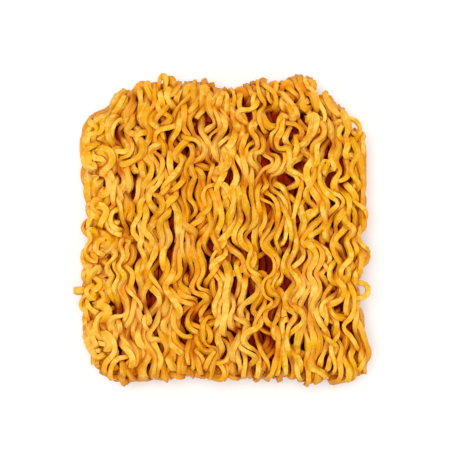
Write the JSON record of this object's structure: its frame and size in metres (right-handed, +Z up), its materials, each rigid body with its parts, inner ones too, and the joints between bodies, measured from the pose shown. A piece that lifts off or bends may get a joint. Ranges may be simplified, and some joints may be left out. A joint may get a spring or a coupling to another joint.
{
  "type": "instant noodle cake",
  "caption": "Dried block of wavy fried noodles pressed into a squarish cake with cut corners, lying flat, without pack or dish.",
  "frame": {"origin": "middle of the bounding box at the base, where the cake rests", "axes": "+Z up through the thickness, +Y along the strands towards the end with the cut corners, +X to the right seen from above"},
  "size_m": [0.0978, 0.1032, 0.024],
  "materials": {
    "noodle": "fried dough, slightly oily satin, golden yellow with toasted orange edges"
  },
  "bodies": {
    "root": {"noodle_cake": "noodle"}
  },
  "joints": []
}
